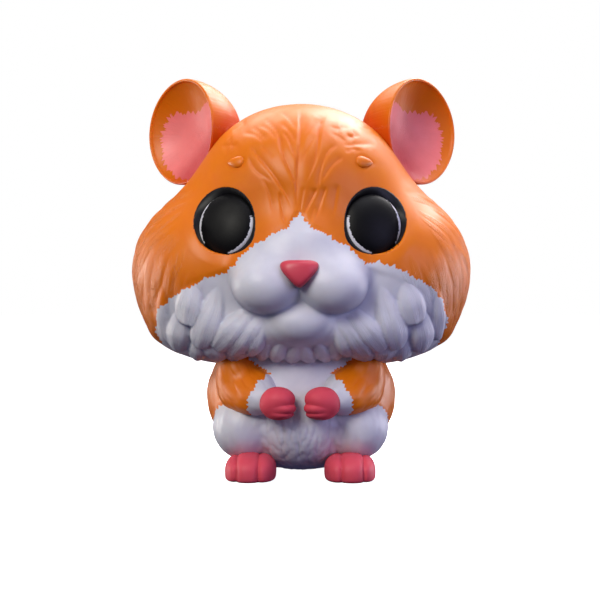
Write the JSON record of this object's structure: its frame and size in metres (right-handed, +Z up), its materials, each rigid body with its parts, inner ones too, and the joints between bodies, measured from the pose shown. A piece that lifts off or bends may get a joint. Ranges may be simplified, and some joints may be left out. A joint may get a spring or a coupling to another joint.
{
  "type": "toy hamster figurine",
  "caption": "Stylised seated hamster figurine in painted vinyl: oversized round head with cupped ears and black eyes, a small body, paws held together, a still ornament.",
  "frame": {"origin": "on the floor, below the middle of the figurine's bounding box", "axes": "+Z up, the figurine faces -Y, and its own left side is at +X"},
  "size_m": [0.0862, 0.0667, 0.1011],
  "materials": {
    "head": "moulded vinyl carved with fur locks, satin orange paint with a white lower face",
    "fur_orange": "moulded vinyl, satin orange paint",
    "fur_white": "moulded vinyl, satin white paint",
    "trunk": "moulded vinyl carved with fur locks, satin orange paint with a white belly",
    "tail": "moulded vinyl, satin white paint",
    "ear": "smooth moulded vinyl, satin orange paint with a pink inside",
    "nose": "smooth moulded vinyl, satin pink paint",
    "paw": "smooth moulded vinyl, satin pink paint",
    "foot": "smooth moulded vinyl, satin pink paint",
    "eye": "smooth moulded plastic, glossy black paint with a thin white edge",
    "eye_rim": "satin-gloss black paint on the raised edge of the socket"
  },
  "bodies": {
    "root": {"head": "head", "nose": "nose", "chin": "fur_white", "trunk": "trunk", "tail": "tail", "ear_left": "ear", "ear_right": "ear", "brow_left": "fur_orange", "brow_right": "fur_orange", "eye_left": "eye", "eye_right": "eye", "eye_rim_left": "eye_rim", "eye_rim_right": "eye_rim", "muzzle_left": "fur_white", "muzzle_right": "fur_white", "arm_left": "fur_orange", "arm_right": "fur_orange", "paw_left": "paw", "paw_right": "paw", "thigh_left": "fur_white", "thigh_right": "fur_white", "foot_left": "foot", "foot_right": "foot"}
  },
  "joints": []
}
